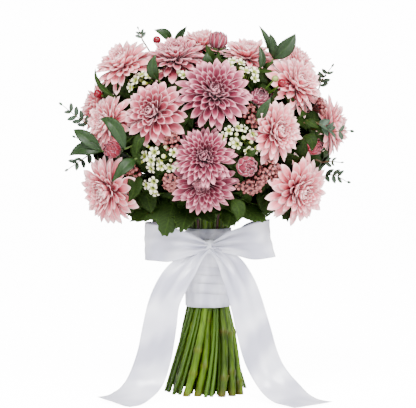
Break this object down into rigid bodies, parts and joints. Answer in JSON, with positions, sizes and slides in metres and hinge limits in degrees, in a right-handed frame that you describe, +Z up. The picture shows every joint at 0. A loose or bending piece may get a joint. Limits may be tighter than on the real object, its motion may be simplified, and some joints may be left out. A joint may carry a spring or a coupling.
{
  "type": "dahlia bouquet",
  "caption": "Domed hand-tied bunch of pink dahlias with waxflower, berries and leaves, held by a satin ribbon wrap and bow, standing on its cut stems.",
  "frame": {"origin": "on the surface it stands on, at the middle of its footprint box, close to the middle of the stem foot", "axes": "+Z up the stems to the flowers, -Y towards the side with the bow, +X to the right of the bow's front view"},
  "size_m": [0.3166, 0.2542, 0.4031],
  "materials": {
    "petal_rose": "matt, finely veined dusty rose petals with paler edges",
    "petal_pink": "matt pink petals, deeper at the base, near white at the tips",
    "petal_pale": "matt pale pink petals with a salmon flush at the base",
    "petal_bud": "folded deep rose petals",
    "stem": "smooth green stems with knuckles, pale at the cut ends",
    "leaf": "satin deep green leaves with a pale midrib",
    "leaf_dark": "matt dark green lobed leaves with branching veins",
    "leaf_sage": "matt grey-green leaves on a brown twig",
    "waxflower_white": "waxy white petals round a yellow-green cup",
    "waxflower_pink": "waxy pink flowers and buds on red-brown twigs",
    "berry": "glossy dark red berries",
    "tie_tape": "matt green floral tape",
    "satin_ribbon": "white satin with a soft sheen"
  },
  "bodies": {
    "root": {"dahlia_stems_front": "stem", "dahlia_stems_front_left": "stem", "dahlia_stems_front_right": "stem", "dahlia_stems_side_left": "stem", "dahlia_stems_back_right": "stem", "dahlia_stems_upper_left": "stem", "dahlia_stems_upper_right": "stem", "dahlia_stems_upper_back": "stem", "dahlia_bloom_front_upper": "petal_rose", "dahlia_bloom_front_left": "petal_pink", "dahlia_bloom_between": "petal_rose", "dahlia_bloom_front_centre": "petal_rose", "dahlia_bloom_front_low": "petal_rose", "dahlia_bloom_front_right": "petal_pink", "dahlia_bloom_left": "petal_pale", "dahlia_bloom_low_left": "petal_pale", "dahlia_bloom_low_right": "petal_pale", "dahlia_bloom_right": "petal_pale", "dahlia_bloom_side_low_left": "petal_pale", "dahlia_bloom_back_left": "petal_pink", "dahlia_bloom_side_low_right": "petal_pale", "dahlia_bloom_back_right": "petal_pink", "dahlia_bloom_back_low": "petal_rose", "dahlia_bloom_upper_left_centre": "petal_pink", "dahlia_bloom_upper_left": "petal_pink", "dahlia_bloom_far_left": "petal_pale", "dahlia_bloom_back_upper_left": "petal_pink", "dahlia_bloom_top": "petal_pale", "dahlia_bloom_top_right": "petal_pale", "dahlia_bloom_upper_right": "petal_pale", "dahlia_bloom_far_upper_right": "petal_pale", "dahlia_bloom_back_upper_right": "petal_pink", "dahlia_bloom_back_top": "petal_pale", "dahlia_bloom_back_centre": "petal_pink", "white_waxflower_left": "waxflower_white", "white_waxflower_upper_left": "waxflower_white", "white_waxflower_right": "waxflower_white", "white_waxflower_upper_right": "waxflower_white", "white_waxflower_back": "waxflower_white", "pink_waxflower_left": "waxflower_pink", "pink_waxflower_right": "waxflower_pink", "pink_waxflower_upper_right": "waxflower_pink", "pink_waxflower_back": "waxflower_pink", "dahlia_bud_top": "petal_bud", "dahlia_bud_half_open": "petal_bud", "dahlia_bud_round": "petal_bud", "dahlia_bud_left": "petal_bud", "dahlia_bud_right": "petal_bud", "berries_left": "berry", "berries_right": "berry", "ruscus_left": "leaf", "ruscus_right": "leaf", "ruscus_back": "leaf", "eucalyptus_left": "leaf_sage", "eucalyptus_right": "leaf_sage", "lobed_leaves_left": "leaf_dark", "lobed_leaves_right": "leaf_dark", "stem_tie": "tie_tape", "ribbon_wrap": "satin_ribbon", "ribbon_bow": "satin_ribbon"}
  },
  "joints": []
}
